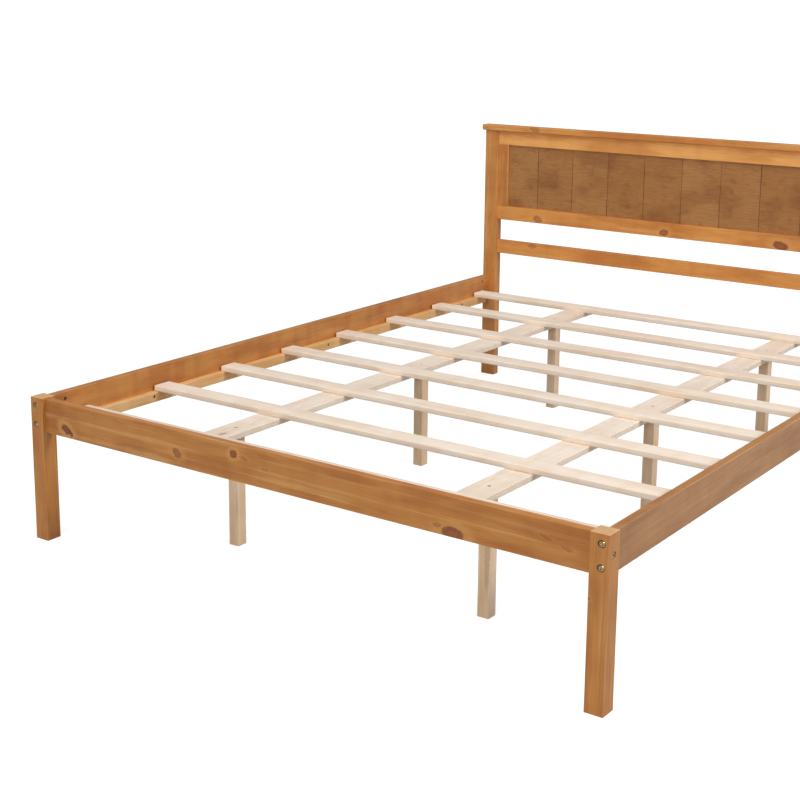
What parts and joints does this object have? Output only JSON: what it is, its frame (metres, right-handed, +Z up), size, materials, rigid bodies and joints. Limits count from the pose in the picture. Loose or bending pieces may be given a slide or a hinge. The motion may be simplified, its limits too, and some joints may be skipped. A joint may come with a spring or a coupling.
{
  "type": "platform bed",
  "caption": "Queen platform bed frame in pine: panelled headboard, low side and foot rails on square posts, and loose slats on ledgers and two legged centre beams.",
  "frame": {"origin": "on the floor, in the middle of the bed's length and width", "axes": "+X to the right seen from the foot, +Y from the foot to the headboard, +Z up"},
  "size_m": [1.612, 2.106, 0.897],
  "materials": {
    "stained_pine": "pine boards with an amber brown stain under a thin satin lacquer",
    "stained_batten": "pine batten with one thin, paler coat of the stain",
    "stained_panel": "veneered board, stained darker brown, with routed lines",
    "raw_pine": "planed pine, not stained or lacquered",
    "beech_dowel": "plain beech",
    "zinc_steel": "bright zinc plate"
  },
  "bodies": {
    "root": {"barrel_nuts": "zinc_steel", "cap_dowels": "beech_dowel", "centre_beam_left": "raw_pine", "centre_beam_right": "raw_pine", "foot_post_bolts": "zinc_steel", "foot_post_left": "stained_pine", "foot_post_right": "stained_pine", "foot_rail": "stained_pine", "head_post_bolts": "zinc_steel", "head_post_left": "stained_pine", "head_post_right": "stained_pine", "headboard_bottom_rail": "stained_pine", "headboard_cap": "stained_pine", "headboard_cross_bar": "stained_pine", "headboard_dowels": "beech_dowel", "headboard_panel": "stained_panel", "headboard_stile_left": "stained_pine", "headboard_stile_right": "stained_pine", "headboard_top_rail": "stained_pine", "ledger_screws": "zinc_steel", "leg_screws": "zinc_steel", "rail_dowels": "beech_dowel", "side_ledger_left": "stained_batten", "side_ledger_right": "stained_batten", "side_rail_left": "stained_pine", "side_rail_right": "stained_pine", "slat_1": "raw_pine", "slat_2": "raw_pine", "slat_3": "raw_pine", "slat_4": "raw_pine", "slat_5": "raw_pine", "slat_6": "raw_pine", "slat_7": "raw_pine", "slat_8": "raw_pine", "support_leg_left_1": "raw_pine", "support_leg_left_2": "raw_pine", "support_leg_left_3": "raw_pine", "support_leg_right_1": "raw_pine", "support_leg_right_2": "raw_pine", "support_leg_right_3": "raw_pine"}
  },
  "joints": []
}
